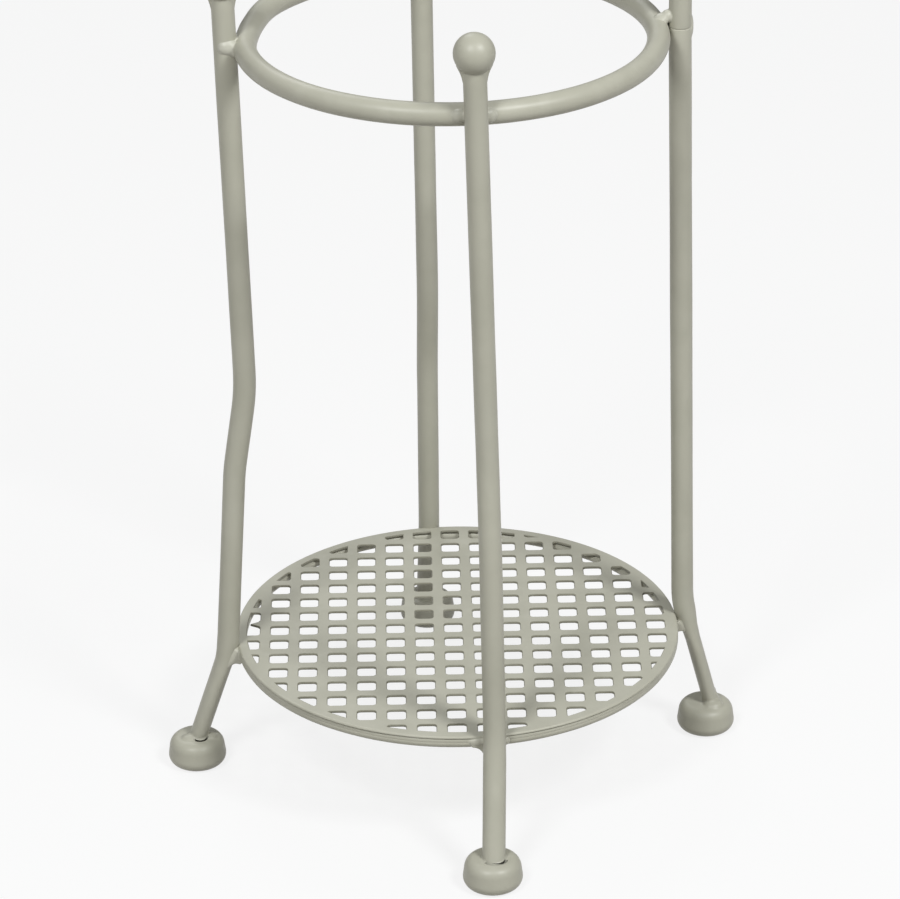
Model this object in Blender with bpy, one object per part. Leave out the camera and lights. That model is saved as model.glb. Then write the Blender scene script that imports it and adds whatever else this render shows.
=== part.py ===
"""Freestanding toilet paper holder: four bent legs, a top ring, a perforated base and a roll arm.

Metres, +Z up. The origin is on the floor, on the axis of the ring and the base. The right leg stands
on +X and carries the post of the roll arm. The other legs end in ball finials.
"""

import math
from collections import namedtuple

import bmesh
import bpy
from mathutils import Matrix, Vector

# Rods and clearances
ROD_RADIUS = 0.0042
CLEARANCE = 0.0003
RING_BITE = 0.0016
BASE_BITE = 0.0012
LIGHT_BITE = 0.0003
OVERRUN = 0.002

# Top ring
RING_RADIUS = 0.0752
RING_HEIGHT = 0.2945

# Base: a perforated sheet on a wire hoop
BASE_RADIUS = 0.0854
BASE_TOP = 0.0514
SHEET_THICKNESS = 0.001
HOOP_WIRE_RADIUS = 0.0019
HOLE_PITCH = 0.0112
HOLE_WIDTH = 0.0070
HOLE_CORNER = 0.0013
HOLE_MARGIN = 0.0004
HOLE_LEAST_DEPTH = 0.0016
HOLE_OFFSET_X = -0.0016
HOLE_OFFSET_Y = -0.0005
HOLE_TURN = math.radians(-5.0)

# Feet
FOOT_RADIUS = 0.0112
FOOT_HEIGHT = 0.0118
FOOT_TAPER = 0.0010
FOOT_TOP_ROUND = 0.0030
FOOT_BOTTOM_ROUND = 0.0032
FOOT_CROWN = 0.0004
SOCKET_DEPTH = 0.0058

# Ball finials
BALL_RADIUS = 0.0075
BALL_RISE = 0.0251
BALL_SEAT = 0.0050

# Legs: how far each foot stands out from the base, and where the lower bend is, from the base's top
RIGHT_SPREAD = 0.0126
BACK_SPREAD = 0.0176
LEFT_SPREAD = 0.0171
FRONT_SPREAD = 0.0201
RIGHT_ENTRY = 0.0017
BACK_ENTRY = 0.0005
LEFT_ENTRY = -0.0009
FRONT_ENTRY = 0.0006
HIGH_FLARE = 0.0048
LOW_FLARE = -0.0018

# Each leg was bent and welded by hand, so its direction in degrees differs a little at the ring, at the base
# and at the foot. The entry is how far outward of the foot's centre it enters the foot, and the bites say
# how deep the welds sink it into the ring and the base.
Leg = namedtuple("Leg", "ring_turn base_turn foot_turn spread entry flare ring_bite base_bite")
LEGS = {
    "right": Leg(0.0, 1.0, 0.4, RIGHT_SPREAD, RIGHT_ENTRY, HIGH_FLARE, -CLEARANCE, -CLEARANCE),
    "back": Leg(92.0, 91.4, 91.0, BACK_SPREAD, BACK_ENTRY, LOW_FLARE, RING_BITE, BASE_BITE),
    "left": Leg(179.0, 182.0, 181.0, LEFT_SPREAD, LEFT_ENTRY, LOW_FLARE, RING_BITE, LIGHT_BITE),
    "front": Leg(270.0, 273.2, 270.8, FRONT_SPREAD, FRONT_ENTRY, LOW_FLARE, RING_BITE, BASE_BITE),
}
POST_LEG = "right"
SEAM_RISE = 0.0003

# The crank takes a leg from the narrow ring out to the wider base
CRANK_TOP_HEIGHT = 0.1580
CRANK_LOW_HEIGHT = 0.1250
CRANK_INSET = 0.0028
CRANK_OUTSET = 0.0043
CRANK_BEND = 0.090
FLARE_BEND = 0.045

# Roll arm
ARM_HEIGHT = 0.6000
ARM_BEND = 0.028
ARM_REACH = 0.0480
ARM_TIP = 0.0160
ARM_TIP_RISE = math.radians(18.0)
ARM_TIP_BEND = 0.020

# Weld beads, half sizes: out from the axis, along the rim, up
RING_BEAD = (0.0036, 0.0062, 0.0054)
BASE_BEAD = (0.0036, 0.0066, 0.0044)
BASE_BEAD_DROP = 0.0026
POST_BEAD = (0.0016, 0.0026, 0.0060)
POST_BEAD_PROUD = 0.0003
POST_BEAD_TURN = 20.0
COLLAR_TOP_SHARE = 0.42
COLLAR_LENGTH = 0.0028
COLLAR_TOE = 0.0006
COLLAR_SWEEP = math.radians(230.0)

# Facets
ROD_BEVEL_RESOLUTION = 2
RIM_STEPS = 48
TURN_STEPS = 16
ROUND_STEPS = 3
BEND_STEPS = 5
BEAD_STEPS = 8
FLAT_ANGLE = math.radians(40.0)

# Worked out from the sizes above
HOOP_RADIUS = BASE_RADIUS - HOOP_WIRE_RADIUS
HOOP_HEIGHT = BASE_TOP - SHEET_THICKNESS - CLEARANCE - HOOP_WIRE_RADIUS
LEG_TOP = RING_HEIGHT + BALL_RISE - BALL_SEAT
POST_FOOT = RING_HEIGHT + SEAM_RISE
POST_RADIUS = RING_RADIUS + 2 * ROD_RADIUS - LEGS[POST_LEG].ring_bite

PAINT = (0.47, 0.47, 0.38)
BEAD_PAINT = (0.53, 0.53, 0.45)


def clear_scene():
    for item in list(bpy.data.objects):
        bpy.data.objects.remove(item, do_unlink=True)


def make_material(name, colour, roughness):
    material = bpy.data.materials.new(name)
    material.use_nodes = True
    shader = material.node_tree.nodes["Principled BSDF"]
    shader.inputs["Base Color"].default_value = (*colour, 1.0)
    shader.inputs["Roughness"].default_value = roughness
    shader.inputs["Metallic"].default_value = 0.0
    material.diffuse_color = (*colour, 1.0)
    return material


def add_object(name, mesh, material=None):
    item = bpy.data.objects.new(name, mesh)
    bpy.context.scene.collection.objects.link(item)
    if material:
        mesh.materials.append(material)
        mesh.shade_smooth()
        mesh.set_sharp_from_angle(angle=FLAT_ANGLE)
    return item


def hide_as_cutter(item):
    item.hide_render = True
    item.display_type = "WIRE"
    return item


def rounded_path(corners, bends):
    """The centre-line through the corners, with an arc of the given radius at each inner corner."""
    points = [corners[0]]
    for before, corner, after, radius in zip(corners, corners[1:], corners[2:], bends):
        inward = (before - corner).normalized()
        outward = (after - corner).normalized()
        half = inward.angle(outward) / 2
        trim = radius / math.tan(half)
        centre = corner + (inward + outward).normalized() * (radius / math.sin(half))
        start = (corner + inward * trim - centre).normalized()
        end = (corner + outward * trim - centre).normalized()
        for step in range(BEND_STEPS + 1):
            points.append(centre + start.slerp(end, step / BEND_STEPS) * radius)
    points.append(corners[-1])
    return points


def rod_mesh(name, path, grow=0.0):
    """A round rod along a path, as a bevelled curve with filled ends. grow makes it fatter and longer."""
    curve = bpy.data.curves.new(name, "CURVE")
    curve.dimensions = "3D"
    curve.bevel_depth = ROD_RADIUS + grow
    curve.bevel_resolution = ROD_BEVEL_RESOLUTION
    curve.use_fill_caps = True
    points = list(path)
    points[0] = path[0] + (path[0] - path[1]).normalized() * grow
    points[-1] = path[-1] + (path[-1] - path[-2]).normalized() * grow
    spline = curve.splines.new("POLY")
    spline.points.add(len(points) - 1)
    for slot, point in zip(spline.points, points):
        slot.co = (*point, 1.0)
    carrier = bpy.data.objects.new(name, curve)
    bpy.context.scene.collection.objects.link(carrier)
    graph = bpy.context.evaluated_depsgraph_get()
    mesh = bpy.data.meshes.new_from_object(carrier.evaluated_get(graph))
    bpy.data.objects.remove(carrier, do_unlink=True)
    bpy.data.curves.remove(curve)
    tidy = bmesh.new()
    tidy.from_mesh(mesh)
    bmesh.ops.remove_doubles(tidy, verts=tidy.verts, dist=CLEARANCE / 10)
    bmesh.ops.recalc_face_normals(tidy, faces=tidy.faces)
    tidy.to_mesh(mesh)
    tidy.free()
    mesh.name = name
    return mesh


def turned_mesh(name, profile, steps, closed=False, sweep=math.tau):
    """Turns a profile of (radius, height) points about Z. Open ends off the axis get flat round faces.

    A part turn of a closed profile has a face at each end.
    """
    work = bmesh.new()
    verts = [work.verts.new((radius, 0.0, height)) for radius, height in profile]
    edges = [work.edges.new(pair) for pair in zip(verts, verts[1:])]
    if closed:
        edges.append(work.edges.new((verts[-1], verts[0])))
    geometry = verts + edges
    if closed and sweep < math.tau:
        geometry.append(work.faces.new(verts))
    bmesh.ops.spin(
        work, geom=geometry, cent=(0, 0, 0), axis=(0, 0, 1), angle=sweep, steps=steps, use_duplicate=False
    )
    bmesh.ops.remove_doubles(work, verts=work.verts, dist=CLEARANCE / 10)
    rims = [edge for edge in work.edges if edge.is_boundary]
    if rims:
        bmesh.ops.edgeloop_fill(work, edges=rims)
    bmesh.ops.recalc_face_normals(work, faces=work.faces)
    mesh = bpy.data.meshes.new(name)
    work.to_mesh(mesh)
    work.free()
    return mesh


def arc(centre, radius, start, end, steps):
    """Points of (radius, height) along an arc, angles in degrees."""
    angles = [math.radians(start + (end - start) * step / steps) for step in range(steps + 1)]
    return [(centre[0] + radius * math.cos(a), centre[1] + radius * math.sin(a)) for a in angles]


def rim_mesh(name, rim_radius, wire_radius, height, sides, grow=0.0):
    """A round wire bent into a level hoop."""
    profile = arc((rim_radius, height), wire_radius + grow, 0, 360, sides)[:-1]
    return turned_mesh(name, profile, RIM_STEPS, closed=True)


def bead_mesh(name, half_sizes, place, direction):
    """An egg-shaped drop of weld, with its axes out from the stand's axis, along the rim and up."""
    work = bmesh.new()
    bmesh.ops.create_uvsphere(work, u_segments=BEAD_STEPS, v_segments=BEAD_STEPS // 2 + 1, radius=1.0)
    scale = Matrix.Diagonal((*half_sizes, 1.0))
    turn = Matrix.Rotation(direction, 4, "Z")
    bmesh.ops.transform(work, matrix=Matrix.Translation(place) @ turn @ scale, verts=work.verts)
    mesh = bpy.data.meshes.new(name)
    work.to_mesh(mesh)
    work.free()
    return mesh


def cut(item, cutters):
    """Takes the cutters away from a piece, so that it seats round its neighbours with the clearance."""
    for cutter in cutters:
        boolean = item.modifiers.new("seat_" + cutter.name, "BOOLEAN")
        boolean.operation = "DIFFERENCE"
        boolean.solver = "EXACT"
        boolean.object = cutter


def around(degrees, radius, height):
    """A point at a distance and in a direction from the stand's axis."""
    direction = math.radians(degrees)
    return Vector((radius * math.cos(direction), radius * math.sin(direction), height))


def ring_radius(leg):
    """How far a leg's centre-line is from the axis where it is welded to the ring."""
    return RING_RADIUS + 2 * ROD_RADIUS - leg.ring_bite


def base_radius(leg):
    """How far a leg's centre-line is from the axis where it is welded to the base."""
    return BASE_RADIUS + ROD_RADIUS - leg.base_bite


def foot_centre(leg):
    return around(leg.foot_turn, BASE_RADIUS + leg.spread, 0.0)


def leg_turn(leg, height):
    """The direction of a leg at a height: it swings evenly from the base to the ring."""
    share = (height - HOOP_HEIGHT) / (RING_HEIGHT - HOOP_HEIGHT)
    return leg.base_turn + (leg.ring_turn - leg.base_turn) * share


def leg_path(name):
    """The centre-line of a leg, from inside its foot to its top."""
    leg = LEGS[name]
    contact = around(leg.base_turn, base_radius(leg), HOOP_HEIGHT)
    entry = around(leg.foot_turn, BASE_RADIUS + leg.spread + leg.entry, FOOT_HEIGHT)
    run = (entry - contact) / (HOOP_HEIGHT - FOOT_HEIGHT)
    corners = [entry + run * SOCKET_DEPTH, contact + run * (HOOP_HEIGHT - BASE_TOP - leg.flare)]
    bends = [FLARE_BEND]
    if name == POST_LEG:
        corners.append(around(leg.ring_turn, ring_radius(leg), POST_FOOT - CLEARANCE))
    else:
        lean = CRANK_INSET / (RING_HEIGHT - CRANK_TOP_HEIGHT)
        low = (base_radius(leg) - CRANK_OUTSET, CRANK_LOW_HEIGHT)
        high = (ring_radius(leg) - CRANK_INSET, CRANK_TOP_HEIGHT)
        top = (ring_radius(leg) + lean * (LEG_TOP - RING_HEIGHT), LEG_TOP)
        corners += [around(leg_turn(leg, height), radius, height) for radius, height in (low, high, top)]
        bends += [CRANK_BEND, CRANK_BEND]
    return rounded_path(corners, bends)


def arm_path():
    """The centre-line of the post and the arm, from the seam at the ring to the arm's tip."""
    tip = Vector((-math.cos(ARM_TIP_RISE), 0.0, math.sin(ARM_TIP_RISE))) * ARM_TIP
    bend = Vector((-ARM_REACH, 0.0, ARM_HEIGHT))
    corners = [Vector((POST_RADIUS, 0.0, height)) for height in (POST_FOOT, ARM_HEIGHT)]
    corners += [bend, bend + tip]
    return rounded_path(corners, [ARM_BEND, ARM_TIP_BEND])


def end_frame(path):
    """The placement of a ball at the end of a rod, with local Z along the rod."""
    direction = (path[-1] - path[-2]).normalized()
    centre = path[-1] + direction * BALL_SEAT
    return Matrix.Translation(centre) @ direction.to_track_quat("Z", "Y").to_matrix().to_4x4()


def ball_profile(grow=0.0):
    return arc((0.0, 0.0), BALL_RADIUS + grow, -90, 90, TURN_STEPS // 2)


def collar_profile():
    """The weld under a ball: from the ball's lower side down to the rod."""
    top_height = -BALL_RADIUS * COLLAR_TOP_SHARE
    top_radius = math.sqrt(BALL_RADIUS**2 - top_height**2) + CLEARANCE
    low_height = -BALL_RADIUS - COLLAR_LENGTH
    inner = ROD_RADIUS / 2
    outer = [(ROD_RADIUS + COLLAR_TOE, low_height), (top_radius, top_height)]
    return [(inner, low_height), *outer, (inner, top_height)]


def foot_profile():
    """Half the outline of a foot: a flat sole, rounded edges, a side that tapers upward and a low crown."""
    low = FOOT_BOTTOM_ROUND
    high = FOOT_TOP_ROUND
    shoulder = FOOT_HEIGHT - FOOT_CROWN
    points = arc((FOOT_RADIUS - low, low), low, -90, 0, ROUND_STEPS)
    points += arc((FOOT_RADIUS - FOOT_TAPER - high, shoulder - high), high, 0, 90, ROUND_STEPS)
    points.append((0.0, FOOT_HEIGHT))
    return points


def make_rods(paint):
    """The four legs and the roll arm, with a fatter copy of each to cut what it passes through."""
    cutters = {}
    paths = {name: leg_path(name) for name in LEGS}
    paths["arm"] = arm_path()
    for name, path in paths.items():
        title = "roll_arm" if name == "arm" else "leg_" + name
        add_object(title, rod_mesh(title, path), paint)
        grown = rod_mesh("cutter_" + title, path, CLEARANCE)
        cutters[name] = hide_as_cutter(add_object("cutter_" + title, grown))
    return paths, cutters


def make_ring(paint, cutters):
    sides = 4 * (ROD_BEVEL_RESOLUTION + 1)
    ring = add_object("upper_ring", rim_mesh("upper_ring", RING_RADIUS, ROD_RADIUS, RING_HEIGHT, sides), paint)
    cut(ring, cutters.values())
    grown = rim_mesh("cutter_ring", RING_RADIUS, ROD_RADIUS, RING_HEIGHT, sides, CLEARANCE)
    return hide_as_cutter(add_object("cutter_ring", grown))


def hole_outline(centre):
    """A square hole with cut corners, turned with the sheet's pattern."""
    half = HOLE_WIDTH / 2
    inner = half - HOLE_CORNER
    corners = [(half, inner), (inner, half), (-inner, half), (-half, inner)]
    corners += [(-x, -y) for x, y in corners]
    turn = Matrix.Rotation(HOLE_TURN, 2)
    return [turn @ (centre + Vector(corner)) for corner in corners]


def hole_centres(limit):
    """The pattern's places whose hole reaches far enough inside the limit circle, before the turn."""
    count = math.ceil(limit / HOLE_PITCH)
    half = HOLE_WIDTH / 2
    centres = []
    for row in range(-count, count + 1):
        for column in range(-count, count + 1):
            centre = Vector((column * HOLE_PITCH + HOLE_OFFSET_X, row * HOLE_PITCH + HOLE_OFFSET_Y))
            inner = Vector((max(abs(centre.x) - half, 0.0), max(abs(centre.y) - half, 0.0)))
            if inner.length < limit - HOLE_LEAST_DEPTH:
                centres.append(centre)
    return centres


def make_hole_cutter(limit):
    """One prism for each hole, kept inside the limit circle, where the hoop closes the pattern off."""
    low = BASE_TOP - SHEET_THICKNESS - OVERRUN
    high = BASE_TOP + OVERRUN
    work = bmesh.new()
    for centre in hole_centres(limit):
        floor = work.faces.new([work.verts.new((*point, low)) for point in hole_outline(centre)])
        raised = bmesh.ops.extrude_face_region(work, geom=[floor])["geom"]
        lifted = [item for item in raised if isinstance(item, bmesh.types.BMVert)]
        bmesh.ops.translate(work, vec=(0, 0, high - low), verts=lifted)
    bmesh.ops.recalc_face_normals(work, faces=work.faces)
    mesh = bpy.data.meshes.new("cutter_holes")
    work.to_mesh(mesh)
    work.free()
    holes = hide_as_cutter(add_object("cutter_holes", mesh))
    band = [(limit, low - OVERRUN), (limit, high + OVERRUN)]
    disc = turned_mesh("cutter_limit", band, RIM_STEPS)
    bound = hide_as_cutter(add_object("cutter_limit", disc))
    trim = holes.modifiers.new("limit", "BOOLEAN")
    trim.operation = "INTERSECT"
    trim.solver = "EXACT"
    trim.object = bound
    return holes


def make_base(paint, cutters):
    """The hoop, and the perforated sheet that lies on it."""
    sides = 2 * (ROD_BEVEL_RESOLUTION + 1) + 2
    wire = rim_mesh("base_hoop", HOOP_RADIUS, HOOP_WIRE_RADIUS, HOOP_HEIGHT, sides)
    hoop = add_object("base_hoop", wire, paint)
    low = BASE_TOP - SHEET_THICKNESS
    edge = SHEET_THICKNESS / 4
    outline = [(BASE_RADIUS - edge, low), (BASE_RADIUS, low + edge)]
    outline += [(BASE_RADIUS, BASE_TOP - edge), (BASE_RADIUS - edge, BASE_TOP)]
    sheet = add_object("perforated_base", turned_mesh("perforated_base", outline, RIM_STEPS), paint)
    holes = make_hole_cutter(BASE_RADIUS - 2 * HOOP_WIRE_RADIUS - HOLE_MARGIN)
    legs = [cutters[name] for name in LEGS]
    cut(hoop, legs)
    cut(sheet, [holes, *legs])
    grown_hoop = rim_mesh("cutter_hoop", HOOP_RADIUS, HOOP_WIRE_RADIUS, HOOP_HEIGHT, sides, CLEARANCE)
    plain = [(BASE_RADIUS + CLEARANCE, low - CLEARANCE), (BASE_RADIUS + CLEARANCE, BASE_TOP + CLEARANCE)]
    grown_sheet = turned_mesh("cutter_sheet", plain, RIM_STEPS)
    return [
        hide_as_cutter(add_object("cutter_hoop", grown_hoop)),
        hide_as_cutter(add_object("cutter_sheet", grown_sheet)),
    ]


def make_feet(paint, cutters):
    for name, leg in LEGS.items():
        foot = add_object("foot_" + name, turned_mesh("foot_" + name, foot_profile(), TURN_STEPS), paint)
        foot.location = foot_centre(leg)
        cut(foot, [cutters[name]])


def make_finials(paint, bead_paint, paths, cutters):
    """A ball on each free rod end, and the weld round the back of its neck."""
    start = math.pi / 2 - COLLAR_SWEEP / 2
    for name, path in paths.items():
        if name == POST_LEG:
            continue
        frame = end_frame(path)
        ball = add_object("finial_" + name, turned_mesh("finial_" + name, ball_profile(), TURN_STEPS), paint)
        ball.matrix_world = frame
        cut(ball, [cutters[name]])
        grown = turned_mesh("cutter_finial_" + name, ball_profile(CLEARANCE), TURN_STEPS)
        shell = hide_as_cutter(add_object("cutter_finial_" + name, grown))
        shell.matrix_world = frame
        title = "finial_weld_" + name
        ring = turned_mesh(title, collar_profile(), BEAD_STEPS, closed=True, sweep=COLLAR_SWEEP)
        collar = add_object(title, ring, bead_paint)
        collar.matrix_world = frame @ Matrix.Rotation(start, 4, "Z")
        cut(collar, [shell, cutters[name]])


def make_bead(title, half_sizes, place, direction, bead_paint, cutters):
    bead = add_object(title, bead_mesh(title, half_sizes, place, direction), bead_paint)
    cut(bead, cutters)


def make_welds(bead_paint, cutters, ring_cutter, base_cutters):
    """The beads that join each leg to the ring and to the base, and the post to its leg."""
    for name, leg in LEGS.items():
        neighbours = [cutters[name], ring_cutter]
        if name == POST_LEG:
            neighbours.append(cutters["arm"])
        place = around(leg.ring_turn, ring_radius(leg) - ROD_RADIUS, RING_HEIGHT)
        make_bead("ring_weld_" + name, RING_BEAD, place, math.radians(leg.ring_turn), bead_paint, neighbours)
        place = around(leg.base_turn, base_radius(leg) - ROD_RADIUS, HOOP_HEIGHT - BASE_BEAD_DROP)
        neighbours = [cutters[name], *base_cutters]
        make_bead("base_weld_" + name, BASE_BEAD, place, math.radians(leg.base_turn), bead_paint, neighbours)
    seam = around(LEGS[POST_LEG].ring_turn, POST_RADIUS, POST_FOOT)
    out = around(POST_BEAD_TURN, ROD_RADIUS - POST_BEAD_PROUD, 0.0)
    neighbours = [cutters[POST_LEG], cutters["arm"]]
    make_bead("post_weld", POST_BEAD, seam + out, math.radians(POST_BEAD_TURN), bead_paint, neighbours)


def main():
    clear_scene()
    paint = make_material("sage_paint", PAINT, 0.42)
    bead_paint = make_material("bead_paint", BEAD_PAINT, 0.5)
    paths, cutters = make_rods(paint)
    ring_cutter = make_ring(paint, cutters)
    base_cutters = make_base(paint, cutters)
    make_feet(paint, cutters)
    make_finials(paint, bead_paint, paths, cutters)
    make_welds(bead_paint, cutters, ring_cutter, base_cutters)


main()
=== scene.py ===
# %% [markdown]
# # A freestanding toilet paper holder
#
# The real stand is welded up from steel rod: four legs with bun feet, a ring that ties them together at
# the top, a perforated round base on a wire hoop, and a post with an arm. It is sprayed with a satin
# sage-grey paint, which rounds every edge and softens every weld. This notebook starts from the packed
# solids and gives each piece its finer shape and its finish.

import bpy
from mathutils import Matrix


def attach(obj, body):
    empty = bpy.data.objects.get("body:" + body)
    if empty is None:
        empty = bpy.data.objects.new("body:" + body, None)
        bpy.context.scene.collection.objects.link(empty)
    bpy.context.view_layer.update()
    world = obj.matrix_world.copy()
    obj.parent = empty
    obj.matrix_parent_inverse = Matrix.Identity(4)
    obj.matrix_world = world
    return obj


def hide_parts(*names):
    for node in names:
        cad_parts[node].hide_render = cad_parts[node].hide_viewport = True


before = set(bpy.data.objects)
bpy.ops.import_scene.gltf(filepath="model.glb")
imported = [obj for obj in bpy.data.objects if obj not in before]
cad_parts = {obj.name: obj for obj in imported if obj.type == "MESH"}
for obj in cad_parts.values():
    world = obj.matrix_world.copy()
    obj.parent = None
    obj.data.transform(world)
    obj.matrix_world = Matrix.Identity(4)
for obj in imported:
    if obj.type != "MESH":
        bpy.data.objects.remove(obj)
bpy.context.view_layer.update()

# %% The other modules
import math
from collections import namedtuple

import bpy
from mathutils import Matrix, Vector

# %% [markdown]
# ## The sizes
#
# Every size is the solid's own, in metres, with +Z up and the origin on the floor below the middle of the
# ring. The right leg is on +X. A leg is given by its direction, in degrees, at the ring, at the base and at
# the foot, because hand work never puts the three quite in one upright plane.

# %% Sizes of the rods, the ring and the base
# CLEARANCE is the gap that the solids keep between two pieces which weld metal joins.
CLEARANCE = 0.0003
ROD = 0.0042
RING_RADIUS = 0.0752
RING_HEIGHT = 0.2945
BASE_RADIUS = 0.0854
BASE_TOP = 0.0514
SHEET = 0.0010
HOOP_WIRE = 0.0019
HOOP_RADIUS = BASE_RADIUS - HOOP_WIRE
HOOP_HEIGHT = BASE_TOP - SHEET - CLEARANCE - HOOP_WIRE

# %% Sizes of the feet, the balls and the arm
FOOT_RADIUS = 0.0112
FOOT_HEIGHT = 0.0118
SOCKET_DEPTH = 0.0058
BALL_RADIUS = 0.0075
BALL_SEAT = 0.0050
LEG_TOP = RING_HEIGHT + 0.0201
SEAM_HEIGHT = RING_HEIGHT + CLEARANCE
POST_RADIUS = RING_RADIUS + 2 * ROD + CLEARANCE

# %% The four legs
# The turns at the ring, the base and the foot, the foot's distance, how far outward of it the rod enters,
# the lower bend's height, and how deep the rod is sunk into the ring and the base.
Leg = namedtuple("Leg", "ring base foot out enter bend ring_bite base_bite")
LEGS = {
    "right": Leg(0.0, 1.0, 0.4, 0.0980, 0.0017, 0.0562, -0.0003, -0.0003),
    "back": Leg(92.0, 91.4, 91.0, 0.1030, 0.0005, 0.0496, 0.0016, 0.0012),
    "left": Leg(179.0, 182.0, 181.0, 0.1025, -0.0009, 0.0496, 0.0016, 0.0003),
    "front": Leg(270.0, 273.2, 270.8, 0.1055, 0.0006, 0.0496, 0.0016, 0.0012),
}
print("legs:", ", ".join(LEGS))


# %% Places on the stand
def around(degrees, radius, height):
    """A point at a distance and in a direction from the stand's axis."""
    turn = math.radians(degrees)
    return Vector((radius * math.cos(turn), radius * math.sin(turn), height))


def ring_distance(leg):
    return RING_RADIUS + 2 * ROD - leg.ring_bite


def base_distance(leg):
    return BASE_RADIUS + ROD - leg.base_bite


def foot_place(leg):
    return around(leg.foot, leg.out, 0.0)


# The front leg stands a little to the right in its foot.
SOCKET_TURNS = {"right": 0.0, "back": 0.0, "left": 0.0, "front": 0.22}


def socket_place(name):
    """Where a leg's centre-line enters the top of its foot."""
    leg = LEGS[name]
    return around(leg.foot + SOCKET_TURNS[name], leg.out + leg.enter, FOOT_HEIGHT)


# %% [markdown]
# ## The camera and the light
#
# The photograph was taken from a little above, from far away with a long lens, so upright rods stay
# upright. The camera's place and turn were found by fitting the ring, the base and the feet. The light is
# that of a small studio. The two soft highlights on the front ball place its two lamps: both are high, one
# to the left of the camera and one further to the right. A weak lamp behind and a dim world fill in the
# rest, so that level faces are bright and undersides dark.

# %% Camera
def add_camera(place, turn, lens):
    bpy.ops.object.camera_add(location=place, rotation=[math.radians(v) for v in turn])
    camera = bpy.context.object
    camera.name = "photo_camera"
    camera.data.lens = lens
    camera.data.sensor_width = 36.0
    camera.data.clip_start = 0.05
    camera.data.clip_end = 60.0
    bpy.context.scene.camera = camera
    return camera


camera = add_camera((-0.14898, -1.46344, 0.85179), (63.7966, 0.5881, -6.0206), 172.788)
print("camera lens:", round(camera.data.lens, 2))


# %% Lamps
LAMP_COLOUR = (0.985, 1.0, 1.0)


def add_lamp(name, place, aim, size, power):
    bpy.ops.object.light_add(type="AREA", location=place)
    lamp = bpy.context.object
    lamp.name = name
    lamp.data.shape = "DISK"
    lamp.data.size = size
    lamp.data.energy = power
    lamp.data.color = LAMP_COLOUR
    lamp.rotation_mode = "QUATERNION"
    lamp.rotation_quaternion = (Vector(aim) - Vector(place)).to_track_quat("-Z", "Y")
    return lamp


MIDDLE = (0.0, 0.0, 0.25)
add_lamp("left_lamp", (-0.90, -1.33, 1.90), MIDDLE, 0.6, 26.0)
add_lamp("right_lamp", (0.99, -1.26, 1.90), MIDDLE, 0.6, 33.0)
add_lamp("back_lamp", (-0.3, 1.7, 1.7), MIDDLE, 1.0, 8.0)

# %% [markdown]
# ## A way to write shader maths
#
# A material's pattern is a chain of small nodes. Writing them one by one hides the idea, so a small class
# wraps a socket and lets Python's own signs add the Math nodes: 1 - mask * 0.5 makes two of them.


# %% The class that wraps a socket
class Wire:
    """One output of a node in a material, with signs that add Math nodes."""

    def __init__(self, tree, socket):
        self.tree = tree
        self.socket = socket

    def maths(self, operation, *values, clamp=False):
        node = self.tree.nodes.new("ShaderNodeMath")
        node.operation = operation
        node.use_clamp = clamp
        for slot, value in zip(node.inputs, values):
            if isinstance(value, Wire):
                self.tree.links.new(value.socket, slot)
            else:
                slot.default_value = value
        return Wire(self.tree, node.outputs[0])

    def __add__(self, other):
        return self.maths("ADD", self, other)

    def __radd__(self, other):
        return self.maths("ADD", other, self)

    def __sub__(self, other):
        return self.maths("SUBTRACT", self, other)

    def __rsub__(self, other):
        return self.maths("SUBTRACT", other, self)

    def __mul__(self, other):
        return self.maths("MULTIPLY", self, other)

    def __rmul__(self, other):
        return self.maths("MULTIPLY", other, self)

    def between(self, low, high):
        """0 below low, 1 above high and straight in between."""
        return self.maths("MULTIPLY", self - low, 1.0 / (high - low), clamp=True)


# %% The class that builds a material
class Paint:
    """A material with a Principled shader, and one method that adds any node."""

    def __init__(self, name):
        self.material = bpy.data.materials.new(name)
        self.material.use_nodes = True
        self.tree = self.material.node_tree
        self.shader = self.tree.nodes["Principled BSDF"]
        place = self.node("ShaderNodeTexCoord")
        self.place = Wire(self.tree, place.outputs["Object"])

    def node(self, kind, settings=None, **values):
        """Adds a node: its settings come first, then the values or wires of its sockets."""
        node = self.tree.nodes.new(kind)
        for key, value in (settings or {}).items():
            setattr(node, key, value)
        for key, value in values.items():
            self.feed(node.inputs[key.replace("_", " ")], value)
        return node

    def feed(self, slot, value):
        if isinstance(value, Wire):
            self.tree.links.new(value.socket, slot)
        else:
            slot.default_value = value

    def noise(self, scale, detail=2.0, roughness=0.5, stretch=None):
        """Cloudy noise from 0 to 1 on the piece's own place. stretch squeezes it along an axis."""
        place = self.place
        if stretch:
            squeezed = self.node("ShaderNodeMapping", Vector=place, Scale=stretch)
            place = Wire(self.tree, squeezed.outputs["Vector"])
        node = self.node("ShaderNodeTexNoise", Vector=place, Scale=scale, Detail=detail, Roughness=roughness)
        return Wire(self.tree, node.outputs["Fac"])

    def blend(self, share, first, second):
        """Mixes two colours, each a tuple or a wire."""
        node = self.node("ShaderNodeMix", {"data_type": "RGBA"})
        self.feed(node.inputs["Factor"], share)
        for slot, colour in ((node.inputs[6], first), (node.inputs[7], second)):
            self.feed(slot, colour if isinstance(colour, Wire) else (*colour, 1.0))
        return Wire(self.tree, node.outputs[2])

    def set(self, name, value):
        self.feed(self.shader.inputs[name], value)

    def bump(self, height, depth):
        """Lets a height from 0 to 1, times a depth in metres, tilt the surface."""
        node = self.node("ShaderNodeBump", Strength=1.0, Distance=depth, Height=height)
        self.set("Normal", Wire(self.tree, node.outputs["Normal"]))


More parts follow.
